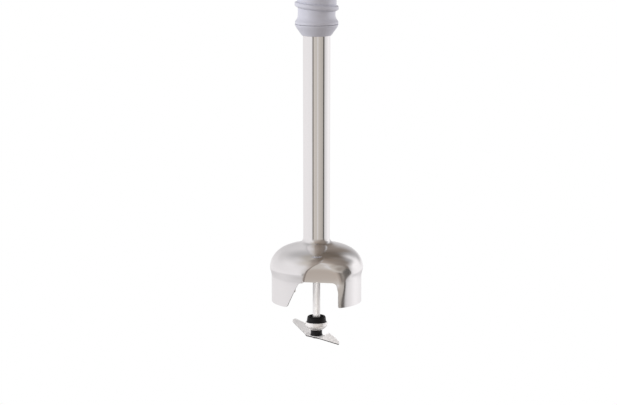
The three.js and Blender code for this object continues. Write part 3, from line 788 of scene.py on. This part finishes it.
def foot_shell():
    """The tube and bell in one skin: rows of points down the outside, the windows' faces left out,
    the points beside the windows moved to their edges, and the wall's thickness added inwards."""
    tube_height = TUBE_TOP - RIM
    straight = [(TUBE_RADIUS + (NECK_RADIUS_OF_BELL - TUBE_RADIUS) * step / 10,
                 tube_height + (NECK_HEIGHT - tube_height) * step / 10) for step in range(10)]
    rows = straight + smooth_curve(BELL_CURVE, 0.9)
    angles = bell_angles()
    angles += [angle + math.pi for angle in angles]
    columns = len(angles)
    verts, faces = [], []
    for radius, height in rows:
        for column, angle in enumerate(angles):
            if radius > FOLLOW_FROM:
                turn = math.pi if column >= columns // 2 else 0
                followed = turn + shifted(angle - turn, min(height, STEP_TABLE[-1][0]), radius)
                angle += (followed - angle) * eased(radius, FOLLOW_FROM, FOLLOW_FULLY)
            x, y = radius * math.sin(angle), -radius * math.cos(angle)
            verts.append(pressed(x, y, height) if radius > PRESSED_FROM_RADIUS else Vector((x, y, height)))
    for row in range(len(rows) - 1):
        for column in range(columns):
            a = row * columns + column
            b = row * columns + (column + 1) % columns
            corners = (a, b, b + columns, a + columns)
            centre = sum((verts[i] for i in corners), Vector()) / 4
            side = 1 if centre.y < 0 else -1
            if rows[row][0] > 40 and abs(centre.x) < 50 and in_window(centre.x * side, centre.z):
                continue
            faces.append(tuple(reversed(corners)))
    bm = bmesh.new()
    made = [bm.verts.new(v) for v in verts]
    for face in faces:
        bm.faces.new([made[i] for i in face])
    bmesh.ops.delete(bm, geom=[v for v in bm.verts if not v.link_faces], context="VERTS")
    for vert in bm.verts:
        if vert.is_boundary and vert.co.z < 40:
            side = 1 if vert.co.y < 0 else -1
            spot, gap = nearest_on_window(vert.co.x * side, vert.co.z)
            if gap < SNAP_TO_WINDOW and abs(vert.co.x) < 46:
                move_on_bell(vert, spot.x * side, spot.y, rows)
    mesh = bpy.data.meshes.new("foot_shell")
    for vert in bm.verts:
        vert.co = Vector((vert.co.x, vert.co.y, vert.co.z + RIM)) * MM
    bm.to_mesh(mesh)
    bm.free()
    shell = bpy.data.objects.new("foot_shell", mesh)
    bpy.context.scene.collection.objects.link(shell)
    two_kinds(mesh)
    # The wall's rim faces and the bevel's rounded edges take material index 1, the grey painted-shade edge
    # material.
    solid = shell.modifiers.new("wall", "SOLIDIFY")
    solid.material_offset_rim = 1
    solid.thickness = BELL_WALL * MM
    solid.offset = -1
    baked(shell)
    return weighted(bevelled(shell, 0.62, 60, 3, 1), 50)


# ---------------------------------------------------------------- collar and grip

RIB_TILT = math.tan(math.radians(5.5))
FIRST_RIB, RIB_PITCH, RIB_COUNT, RIB_RADIUS = -73.6, 14, 4, 24.7
GRIP_RADIUS, NECK_RADIUS = 22.4, 21.1
LIP_BOTTOM = COLLAR_HIGH + 0.3


def tilt_ribs(point):
    """Tilts the ribs down to the right, and leaves the sleeve's ends and its bore level."""
    foot_ease = eased(point.z, LIP_BOTTOM + 8, FIRST_RIB - 3.4)
    head_ease = 1 - eased(point.z, -24, -8)
    outside = math.hypot(point.x, point.y) > 18
    drop = point.x * RIB_TILT * foot_ease * head_ease if outside else 0
    return Vector((point.x, point.y, point.z - drop))


def grip_sleeve():
    outline = [
        (17, SLEEVE_LOW, 0.4), (19.8, SLEEVE_LOW, 0.4), (19.8, LIP_BOTTOM, 0.2),
        (24.3, LIP_BOTTOM, 0.5), (24.5, LIP_BOTTOM + 2.4, 1.2), (NECK_RADIUS, LIP_BOTTOM + 7, 4),
        (NECK_RADIUS, FIRST_RIB - 4, 3),
    ]
    for rib in range(RIB_COUNT):
        middle = FIRST_RIB + rib * RIB_PITCH
        below = NECK_RADIUS if rib == 0 else GRIP_RADIUS
        outline += [(below, middle - 4.2, 1.2), (RIB_RADIUS, middle - 2.2, 1.4),
                    (RIB_RADIUS, middle + 1.7, 0.8), (GRIP_RADIUS - 0.5, middle + 2.7, 0.35),
                    (GRIP_RADIUS - 0.45, middle + 3.3, 0.35), (GRIP_RADIUS, middle + 3.9, 0.4)]
    outline += [(GRIP_RADIUS + 0.6, -20, 8), (29.5, -4, 1.5), (29.5, SLEEVE_HIGH, 0.3),
                (17, SLEEVE_HIGH, 0.3)]
    return turned("grip", rounded(outline, 6), 160, warp=tilt_ribs)


def coupling_collar():
    """A turned ring, hollow inside for the foot's flange."""
    outline = [
        (16.1, COLLAR_LOW, 0.3), (16.9, COLLAR_LOW + 0.4, 0.8), (18.8, COLLAR_LOW + 3.2, 2),
        (20.9, COLLAR_LOW + 6.2, 2), (22.9, COLLAR_LOW + 8.9, 2), (24.2, COLLAR_LOW + 11.4, 1.5),
        (24.4, COLLAR_HIGH, 0.4), (20.4, COLLAR_HIGH, 0.3), (20.4, COLLAR_LOW + 7.8, 0.2),
        (19.1, COLLAR_LOW + 7.5, 0.2), (19.1, COLLAR_LOW + 5.4, 0.2), (16.1, COLLAR_LOW + 5.4, 0.2),
    ]
    return turned("collar", rounded(outline, 6), 160)


# ---------------------------------------------------------------- blade unit

# Heights here are measured from BLADE_LEVEL; BLADE_SEAT is the middle of the blade's thickness.
BLADE_SEAT = -6.2
BLADE_HALF_SPAN = 37.2
BLADE_ROOT = 9.5
BLADE_HALF_THICKNESS = 0.8
BLADE_TURN = math.radians(-45)
BLADE_HALF_WIDTH, BLADE_TAPER, BLADE_TIP = 7.2, 4.7, 1.5
GROUND_WIDTH, EDGE_BREAK = 1.2, 0.1
LEFT_PITCH, LEFT_SLOPE = 0.5, 0.42
RIGHT_PITCH, RIGHT_SLOPE = 0.36, -0.128
SPIGOT_RADIUS, SPIGOT_TOP = 3.1, 3.3
TANG_LENGTH, TANG_HALF = 20, 3


def at_blade(profile):
    return [(radius, BLADE_LEVEL + height) for radius, height in profile]


def squared(point):
    """Flattens the shaft's top end into a square tang."""
    if point.z < SHAFT_TOP - TANG_LENGTH + 0.3:
        return point
    x, y = (max(-TANG_HALF, min(TANG_HALF, place * 1.2)) for place in (point.x, point.y))
    return Vector((x, y, point.z))


def drive_shaft():
    foot, shoulder, tang = BLADE_LEVEL + BLADE_SEAT, BLADE_LEVEL + SPIGOT_TOP, SHAFT_TOP - TANG_LENGTH
    body = rounded([
        (0, foot), (SPIGOT_RADIUS, foot, 0.3), (SPIGOT_RADIUS, shoulder), (SHAFT_RADIUS, shoulder, 0.3),
        (SHAFT_RADIUS, tang, 0.8), (TANG_HALF, tang + 0.6), (TANG_HALF, SHAFT_TOP, 0.4), (0, SHAFT_TOP)], 4)
    return turned("shaft", body, 96, warp=squared)


def seal_cup():
    """A turned bowl, open upwards, that holds the seal."""
    return turned("cup", at_blade(rounded([
        (3.4, 1.1, 0.1), (6.8, 1.1, 0.8), (12.4, 5.8, 1.6), (12.4, 10.5, 0.4), (11.3, 10.5, 0.3),
        (11.3, 6.7, 0.6), (6.6, 3, 0.4), (3.4, 3, 0.1)], 5)))


def lip_seal():
    return turned("seal", at_blade(rounded([
        (4.6, 6.8, 0.1), (10.9, 6.8, 0.3), (11.1, 11.4, 3), (10.4, 16.4, 1.8), (9.2, 17.5, 0.6),
        (8.4, 17.2, 0.5), (7.4, 12.5, 1.2), (6.2, 10.4, 0.8), (4.6, 10.2, 0.4)], 5)))


def blade_hub():
    return turned("hub", at_blade(rounded([
        (3.4, -5.1), (7.1, -5.1, 0.4), (7.1, -4.3, 0.5), (6.5, -3.3, 0.8), (6.5, 0.8, 0.4),
        (3.4, 0.8)], 4)), 96)


def blade_screw():
    return turned("blade_bolt", at_blade(rounded([
        (0, -8.1), (1.4, -8.1), (1.7, -8.5, 0.1), (4.5, -8.5, 0.6), (4.5, -7.3, 0.2), (1.5, -7.3),
        (1.5, 9), (0, 9)], 3)), 48)


def blade_section(along):
    """The blade's section at a distance along it: flat in the middle, bent and pitched in the
    arms, with one edge ground sharp. The left arm's edge faces forward, the right one's back."""
    reach = abs(along)
    is_left = along < 0
    pitch, slope = (LEFT_PITCH, LEFT_SLOPE) if is_left else (RIGHT_PITCH, RIGHT_SLOPE)
    beyond = max(0, reach - BLADE_ROOT)
    share = beyond / (BLADE_HALF_SPAN - BLADE_ROOT)
    pitch *= eased(reach, 8, 14.5)
    half = BLADE_HALF_WIDTH - BLADE_TAPER * share ** 1.2
    rise = BLADE_SEAT + half * math.sin(pitch) + slope * beyond
    tip = max(0, (reach - (BLADE_HALF_SPAN - BLADE_TIP)) / BLADE_TIP)
    half *= math.sqrt(max(0.05, 1 - 0.6 * tip * tip))
    thick = BLADE_HALF_THICKNESS
    ground = GROUND_WIDTH * eased(reach, 9, 15) + EDGE_BREAK
    near, far = (EDGE_BREAK, ground) if is_left else (ground, EDGE_BREAK)
    outline = [(-half + EDGE_BREAK, -thick), (half - EDGE_BREAK, -thick), (half, thick * 0.6),
               (half - far, thick), (-half + near, thick), (-half, thick * 0.6)]
    turn = Matrix.Rotation(BLADE_TURN, 3, "Z")
    points = []
    for across, up in outline:
        y = across * math.cos(pitch) - up * math.sin(pitch)
        z = rise + across * math.sin(pitch) + up * math.cos(pitch)
        rake = 0 if is_left else 0.8 * (across + half) * share ** 4
        points.append(turn @ Vector((along - rake, y, z)) + Vector((0, 0, BLADE_LEVEL)))
    return points


def blade():
    steps = 90
    sections = [blade_section(BLADE_HALF_SPAN * (2 * step / steps - 1)) for step in range(steps + 1)]
    strip = ring_skin("blade_wings", sections, closed=False, caps=True)
    two_kinds(strip.data)
    corners = len(sections[0])
    # The blade's side faces get material index 1, the near-black painted-shade material.
    for index, face in enumerate(strip.data.polygons):
        is_side = index < steps * corners and index % corners in (1, corners - 1)
        face.material_index = int(is_side)
    mark_sharp(strip, 20)
    hole = turned("hole", at_blade([(0, -9), (3.4, -9), (3.4, -3), (0, -3)]), 48)
    return weighted(bevelled(carved(strip, hole), 0.12, 30, 1), 24)


# ---------------------------------------------------------------- motor housing, handle, controls

HANDLE_RADIUS = 21
HANDLE_DEPTH = 1.14
HANDLE_WALL = 2.6
# The handle's outline: what to add to HANDLE_RADIUS, height.
HANDLE_CURVE = [(3, 132.3), (0.9, 140), (-0.7, 154), (-1.4, 172), (-1.3, 190), (-0.6, 207), (0.5, 222),
                (1.4, 236), (1.6, 244)]
SLOT_LEVEL, SLOT_COUNT, SLOT_SPREAD = 90, 6, 16
DIAL_LEVEL, SAFETY_LEVEL, LOCK_LEVEL = 40, 231, 214
SCREW_LEVELS = {"lower": 150, "upper": 226}
PAD_BOTTOM, PAD_TOP, PAD_RIB_PITCH = 148, 206, 4.8


def handle_curve(growth):
    return smooth_curve([(HANDLE_RADIUS + growth + r, z) for r, z in HANDLE_CURVE], 2.5)


def pad_curve(growth):
    """The handle's curve between the grip pad's ends, in even steps."""
    table = [(z, r) for r, z in handle_curve(growth)]
    heights = [PAD_BOTTOM + (PAD_TOP - PAD_BOTTOM) * step / 60 for step in range(61)]
    return [(between(table, height), height) for height in heights]


def prism(name, outline, start, end, place):
    """An outline in two axes pushed along the third; place turns (a, b, along) into a point."""
    return ring_skin(name, [[place(a, b, along) for a, b in outline] for along in (start, end)], False, True)


def upright(a, b, along):
    return Vector((a, b, along))


def facing_y(level):
    """Places an outline upright at a level, pushed along Y."""
    return lambda a, b, along: Vector((a, along, level + b))


def facing_x(level, y=0):
    return lambda a, b, along: Vector((along, y + a, level + b))


# A box that holds the whole handle: half its width, its lowest and highest level.
HANDLE_CLEAR, CLEAR_BOTTOM, CLEAR_TOP = 60, 100, 280


def block(name, left, right, back):
    """A box as high as the handle, to cut one side of it away."""
    outline = [(left, -HANDLE_CLEAR), (right, -HANDLE_CLEAR), (right, back), (left, back)]
    return prism(name, outline, CLEAR_BOTTOM, CLEAR_TOP, upright)


def disc(radius, count=40):
    return [(radius * math.cos(2 * math.pi * i / count), radius * math.sin(2 * math.pi * i / count))
            for i in range(count)]


def stadium(width, height):
    half, reach = width / 2, height / 2 - width / 2
    angles = [math.pi * i / 8 for i in range(9)]
    top = [(half * math.cos(angle), reach + half * math.sin(angle)) for angle in angles]
    return top + [(-a, -b) for a, b in top]


def turned_to(obj, rotation, offset):
    """Turns a finished piece about the origin and moves it, in its mesh."""
    obj.data.transform(Matrix.Translation(Vector(offset) * MM) @ rotation.to_4x4())
    return obj


ALONG_MINUS_Y = Matrix.Rotation(math.pi / 2, 3, "X")
ALONG_PLUS_Y = Matrix.Rotation(-math.pi / 2, 3, "X")
ALONG_PLUS_X = Matrix.Rotation(math.pi / 2, 3, "Y")
ALONG_MINUS_X = Matrix.Rotation(-math.pi / 2, 3, "Y")


def motor_housing():
    outline = [
        (22, 0.6, 0.3), (29.9, 0.6, 0.2), (30.5, 0, 0.3), (42, 0, 2.2), (44, 2.2, 2.2), (44, 16), (44, 30),
        (44, 62), (44, 78), (44, 98, 10), (42.4, 110, 9), (37, 120, 9), (31, 127.5, 6), (27.8, 132, 0.8),
        (19, 132, 0.5), (19, 129.5, 0.5), (27.5, 125), (35, 117.5), (40.2, 108), (41.5, 100), (41.5, 3),
        (22, 3),
    ]
    shell = turned("housing", rounded(outline, 6), 180)
    cutters = []
    for slot in range(SLOT_COUNT):
        for side in (0, math.pi):
            turn = Matrix.Rotation(math.radians((slot - (SLOT_COUNT - 1) / 2) * SLOT_SPREAD) + side, 3, "Z")
            cutters.append(prism("slot", stadium(3, 14), 39, 49,
                                 lambda a, b, t, turn=turn: turn @ Vector((t, a, SLOT_LEVEL + b))))
    cutters.append(prism("stem_hole", disc(3.4), -60, -30, facing_y(DIAL_LEVEL)))
    groove = turned("groove", [(43.5, 64.2), (46, 63.7), (46, 65.5), (43.5, 65.0)], 180)
    return weighted(bevelled(carved(shell, *cutters, groove), 0.5, 50, 2), 40)


def handle_shell(name, side):
    """Half the handle, side 1 for the right one and -1 for the left one."""
    outer = handle_curve(0)
    inner = [(r - HANDLE_WALL, z) for r, z in reversed(outer)]
    shell = turned(name, outer + inner, 120, HANDLE_DEPTH)
    seam, far = 0.15 * side, -HANDLE_CLEAR * side
    other = block("other_half", min(seam, far), max(seam, far), HANDLE_CLEAR)
    mouth = rounded([(-8.5, 153.5, 4), (8.5, 153.5, 4), (8.5, 231.5, 4), (-8.5, 231.5, 4)], 5)
    trigger = prism("trigger_mouth", mouth, -40, -12, facing_y(0))
    safety = prism("safety_mouth", disc(6.4), 10, 40, facing_y(SAFETY_LEVEL))
    if side > 0:
        holes = [prism("screw_mouth", disc(4), 5, 40, facing_x(level)) for level in SCREW_LEVELS.values()]
    else:
        holes = [prism("lock_mouth", disc(5.4), -40, -10, facing_x(LOCK_LEVEL))]
    return weighted(bevelled(carved(shell, other, trigger, safety, *holes), 0.55, 50, 2), 40)


def grip_pad():
    outer = []
    for r, z in pad_curve(2.3):
        ribs = eased(z, PAD_BOTTOM + 3, PAD_BOTTOM + 6) * (1 - eased(z, PAD_TOP - 6, PAD_TOP - 3))
        wave = 0.5 - 0.5 * math.cos(2 * math.pi * z / PAD_RIB_PITCH)
        ease = min(1, (z - PAD_BOTTOM) / 1.5, (PAD_TOP - z) / 1.5)
        outer.append((r - (1 - ease) ** 2 - 0.45 * ribs * wave, z))
    fine = []
    for (r0, z0), (r1, z1) in zip(outer, outer[1:]):
        fine += [(r0, z0), ((r0 + r1) / 2, (z0 + z1) / 2)]
    pad = turned("pad", fine + [outer[-1]] + pad_curve(0.4)[::-1], 140, HANDLE_DEPTH)
    front = block("front", -HANDLE_CLEAR, HANDLE_CLEAR, 6)
    return weighted(bevelled(carved(pad, front), 0.7, 60, 3), 40)


def top_cap():
    return turned("cap", rounded([
        (7.6, 244.3, 0.3), (22.3, 244.3, 0.5), (22.6, 248, 2), (20.4, 253.6, 4), (12, 254, 2),
        (7.6, 254, 0.6)], 6), 128, HANDLE_DEPTH)


def inlet_bush():
    return turned("bush", rounded([
        (4, 241, 0.3), (9, 241, 0.3), (9, 244, 0.3), (6.2, 244), (6.2, 254.5), (7.4, 254.5, 0.5),
        (7.2, 256.4, 0.6), (6.5, 257, 0.4), (6.7, 258, 0.4), (6.3, 260, 0.8), (4, 260, 0.8)], 4), 96)


def trigger():
    outline = smooth_curve([
        (-19, 156.4), (-23, 155.9), (-26.6, 159), (-28.3, 170), (-28.7, 186), (-28, 202), (-26.8, 216),
        (-25.6, 226), (-23.4, 229.7), (-19, 230)], 2.0)
    body = prism("lever", outline, -7.5, 7.5, facing_x(0))
    bore = prism("bore", disc(1.9), -20, 20, facing_x(226, -21.5))
    return weighted(bevelled(carved(body, bore), 1.5, 45, 4), 40)


def push_button(name, radius, length, rotation, offset):
    """A button with a dished top, and a rim at its foot that keeps it in the handle."""
    profile = rounded([
        (0, 0), (radius + 1.4, 0, 0.2), (radius + 1.4, 1.6, 0.4), (radius, 1.6), (radius, length - 1.2, 1.0),
        (radius - 1.4, length, 1.2), (radius - 2.2, length, 0.4), (radius - 3, length - 0.4, 0.6),
        (0, length - 0.5)], 4)
    return turned_to(turned(name, profile, 96), rotation, offset)


def ribbed(point):
    """Eight finger ribs round the dial's side."""
    radius = math.hypot(point.x, point.y)
    if radius < 0.1:
        return point
    rib = max(0, math.cos(8 * math.atan2(point.y, point.x))) ** 3
    share = eased(radius, 9.5, 11.5) * eased(point.z, 45.4, 46.4) * (1 - eased(point.z, 50.5, 53.5))
    scale = 1 + 0.95 * rib * share / radius
    return Vector((point.x * scale, point.y * scale, point.z))


def speed_dial():
    profile = rounded([
        (0, 39.3), (3, 39.3, 0.3), (3, 45.2), (12, 45.2, 0.5), (12, 46.5), (12, 48), (12, 49.5, 1),
        (11.2, 53, 1.2), (10, 54, 0.6), (7, 54, 0.4), (6.4, 53.5, 0.4), (0, 53.5)], 4)
    line = prism("line", stadium(1.1, 4.6), 53.2, 55, lambda a, b, t: Vector((a, 8.6 + b, t)))
    knob = carved(turned("knob", profile, 192, warp=ribbed), line)
    return turned_to(weighted(knob, 40), ALONG_MINUS_Y, (0, 0, DIAL_LEVEL))


def coil_spring(name, radius, wire, length, turns, rotation, offset):
    """A spring of round wire, its end turns lying flat."""
    steps = turns * 30
    rings = []
    for step in range(steps + 1):
        angle = 2 * math.pi * turns * step / steps
        height = wire + (length - 2 * wire) * eased(step, steps * 0.08, steps * 0.92)
        out = Vector((math.cos(angle), math.sin(angle), 0))
        rings.append([out * (radius + wire * a) + Vector((0, 0, height + wire * b)) for a, b in disc(1, 12)])
    return turned_to(weighted(ring_skin(name, rings, closed=False, caps=True)), rotation, offset)


def handle_screw(name, level):
    profile = rounded([
        (0, -10), (1.5, -10, 0.2), (1.5, 17.6), (3.6, 17.6, 0.2), (3.6, 19.0, 0.8), (2.6, 19.8, 0.4),
        (0, 19.8)], 4)
    screw = turned(name, profile, 64)
    socket = prism("socket", disc(1.7, 6), 18.3, 21, upright)
    return turned_to(weighted(carved(screw, socket), 40), ALONG_PLUS_X, (0, 0, level))


# ---------------------------------------------------------------- assembly

make_camera()
make_floor()
make_studio()
make_lights()

# The foot's edges get the grey painted-shade material.
settle(foot_shell(), FOOT, "polished_steel", "foot_tube", "bell_guard")
settle(grip_sleeve(), MOTOR_UNIT, "grey_plastic", "grip_sleeve")
settle(coupling_collar(), COLLAR, "grey_plastic", "coupling_collar")
shaft = settle(drive_shaft(), BLADE_UNIT, "polished_steel", "drive_shaft", material="ground_steel")
cup = settle(seal_cup(), BLADE_UNIT, "polished_steel", "seal_cup", material="bright_steel")
settle(lip_seal(), BLADE_UNIT, "black_rubber", "lip_seal")
# The blade's sides are painted near black as shade.
arms = settle(blade(), BLADE_UNIT, "polished_steel", "blade", material="ground_steel", edge="painted_shade_black")
settle(blade_hub(), BLADE_UNIT, "black_rubber", "blade_hub")
settle(blade_screw(), BLADE_UNIT, "plain_steel", "blade_screw")

settle(motor_housing(), MOTOR_UNIT, "grey_plastic", "motor_housing")
settle(handle_shell("shell_left", -1), MOTOR_UNIT, "grey_plastic", "handle_shell_left")
settle(handle_shell("shell_right", 1), MOTOR_UNIT, "grey_plastic", "handle_shell_right")
settle(grip_pad(), MOTOR_UNIT, "soft_rubber", "grip_pad")
settle(top_cap(), MOTOR_UNIT, "dark_plastic", "top_cap")
settle(inlet_bush(), MOTOR_UNIT, "black_rubber", "inlet_bush")
settle(trigger(), "trigger", "dark_plastic", "trigger")
settle(push_button("safety_push", 5.8, 15, ALONG_PLUS_Y, (0, 15, SAFETY_LEVEL)),
       "safety_button", "red_plastic", "safety_button")
settle(push_button("lock_push", 4.8, 12, ALONG_MINUS_X, (-12, 0, LOCK_LEVEL)),
       "lock_button", "dark_plastic", "lock_button")
settle(speed_dial(), "speed_dial", "dark_plastic", "speed_dial")
for place, level in SCREW_LEVELS.items():
    settle(handle_screw("handle_bolt_" + place, level), MOTOR_UNIT, "plain_steel", f"handle_screw_{place}")

# The return springs: radius, wire radius, length, turns, direction, place; then the axis they are
# squashed along, the end that stays, and the share of their length left at full travel.
for name, wound, axis, end, keep in (
    ("trigger", (3.2, 0.5, 12.4, 4, ALONG_PLUS_Y, (0, -18.7, 164)),
     (0, 1, 0), (0, -6.3, 164), 0.58),
    ("safety", (3.4, 0.5, 8, 3, ALONG_PLUS_Y, (0, 6.7, SAFETY_LEVEL)),
     (0, 1, 0), (0, 6.7, SAFETY_LEVEL), 0.48),
    ("lock", (2.8, 0.5, 7, 3, ALONG_MINUS_X, (-4.7, 0, LOCK_LEVEL)),
     (1, 0, 0), (-4.7, 0, LOCK_LEVEL), 0.62),
):
    coil = settle(coil_spring(name + "_coil", *wound), MOTOR_UNIT, "plain_steel", name + "_spring")
    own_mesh(coil)

# The CAD nodes left showing keep their shape and get the material of their slot.
slot_of = {part["node"]: part["material_slot"] for part in frame["record"]["subparts"]}
for node, obj in frame["nodes"].items():
    obj.data.materials.clear()
    obj.data.materials.append(MATERIALS[slot_of[node]])

light_blade_unit(shaft, arms, cup)
